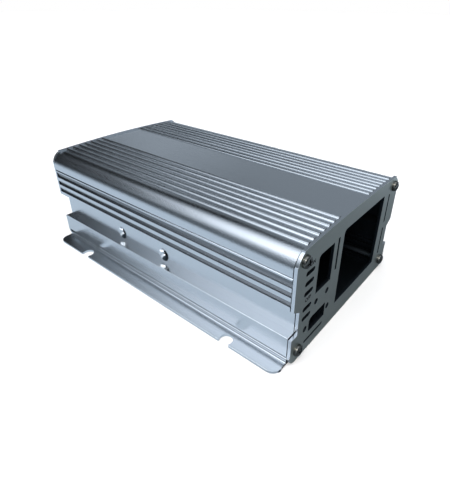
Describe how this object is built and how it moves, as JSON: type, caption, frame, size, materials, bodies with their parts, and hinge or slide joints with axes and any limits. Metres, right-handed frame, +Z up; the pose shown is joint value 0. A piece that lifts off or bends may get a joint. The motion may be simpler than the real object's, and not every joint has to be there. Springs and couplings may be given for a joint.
{
  "type": "aluminium electronics enclosure",
  "caption": "Extruded aluminium enclosure: ribbed cover on a flanged base, closed by punched end panels held with pan-head screws, for a small power supply.",
  "frame": {"origin": "centre of the mounting face, which is the underside of the base", "axes": "+X along the extrusions towards the panel with the openings, +Y across them, +Z up from the mounting face"},
  "size_m": [0.177, 0.1164, 0.0584],
  "materials": {
    "extrusion": "fine blasted, clear anodised, satin",
    "panel": "clear anodised sheet, satin",
    "screw": "dark nickel plated"
  },
  "bodies": {
    "root": {"cover": "extrusion", "base": "extrusion", "front_panel": "panel", "rear_panel": "panel", "front_screw_lower_left": "screw", "front_screw_lower_right": "screw", "front_screw_upper_left": "screw", "front_screw_upper_right": "screw", "rear_screw_lower_left": "screw", "rear_screw_lower_right": "screw", "rear_screw_upper_left": "screw", "rear_screw_upper_right": "screw"}
  },
  "joints": []
}
